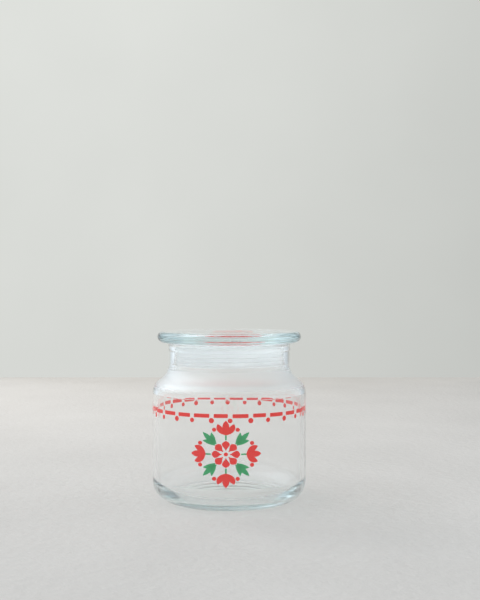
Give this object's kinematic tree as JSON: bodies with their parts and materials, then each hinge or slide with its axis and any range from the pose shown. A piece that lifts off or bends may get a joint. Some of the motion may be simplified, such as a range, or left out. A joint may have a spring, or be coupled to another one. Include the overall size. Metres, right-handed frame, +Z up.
{
  "type": "glass jar",
  "caption": "Clear round glass storage jar with a short neck and a flat glass lid that sits on a soft plastic seal; printed border at the shoulder and a small flower print in front.",
  "frame": {"origin": "on the surface that the jar stands on, at the middle of its foot ring", "axes": "+Z up along the jar's axis; the printed front looks along -Y; +X is to the viewer's right when facing the front"},
  "size_m": [0.1006, 0.1006, 0.11],
  "materials": {
    "jar_glass": "clear, fire-polished",
    "lid_glass": "clear, pressed, with a rounded edge",
    "seal_plastic": "soft, milky and translucent",
    "print_red": "fired-on ink on the glass",
    "print_green": "fired-on ink on the glass"
  },
  "bodies": {
    "root": {"jar": "jar_glass", "lid": "lid_glass", "lid_seal": "seal_plastic"}
  },
  "joints": []
}
